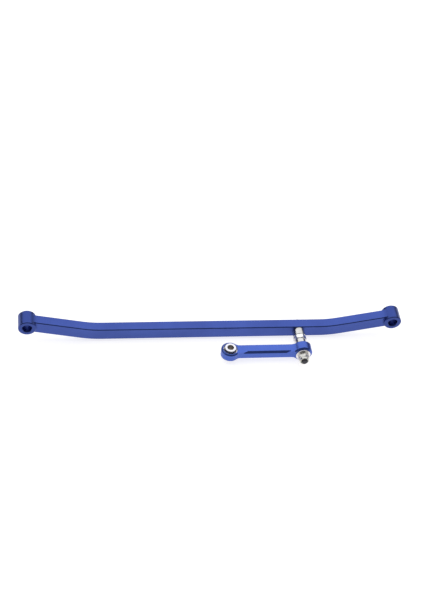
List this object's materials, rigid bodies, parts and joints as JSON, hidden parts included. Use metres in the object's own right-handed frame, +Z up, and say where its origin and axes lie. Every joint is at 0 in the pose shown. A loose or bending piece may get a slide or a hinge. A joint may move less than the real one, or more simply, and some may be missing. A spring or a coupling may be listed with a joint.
{
  "type": "steering tie bar with drag link",
  "caption": "Bent tie bar with a bored eye at each end and a short drag link that swings on a screw-mounted sleeve and carries a flanged pivot ball.",
  "frame": {"origin": "centre of the left eye's bore, on the bar's middle plane", "axes": "+X along the line of the two eyes, from the left to the right one, +Z up, towards the side that the bar's ends bend to, -Y the front, where the drag link is"},
  "size_m": [0.1844, 0.0265, 0.0153],
  "materials": {
    "bar_anodised": "blue anodised, satin",
    "link_anodised": "bright blue anodised, satin",
    "polished_steel": "polished steel, turned",
    "plated_steel": "nickel plated",
    "black_oxide": "black oxide",
    "liner": "grey acetal",
    "nylon": "natural nylon"
  },
  "bodies": {
    "bar": {"tie_bar": "bar_anodised", "pivot_screw": "black_oxide", "standoff_spacer": "polished_steel", "clamp_nut": "plated_steel", "pivot_sleeve": "polished_steel", "thrust_washer": "plated_steel", "lock_nut": "plated_steel", "nylon_insert": "nylon"},
    "link": {"drag_link": "link_anodised", "ball_seat_upper": "liner", "ball_seat_lower": "liner", "seat_ring": "plated_steel"},
    "ball": {"swivel_ball": "polished_steel"}
  },
  "joints": [
    {"name": "link_pivot", "type": "hinge", "parent": "bar", "child": "link", "pos_m": [0.1303, -0.01483, -0.0066], "axis": [0, 1, 0], "continuous": true},
    {"name": "ball_tilt", "type": "hinge", "parent": "link", "child": "ball", "pos_m": [0.0952, -0.01483, -0.0066], "axis": [0, 1, 0], "range_deg": [-12, 12]}
  ]
}
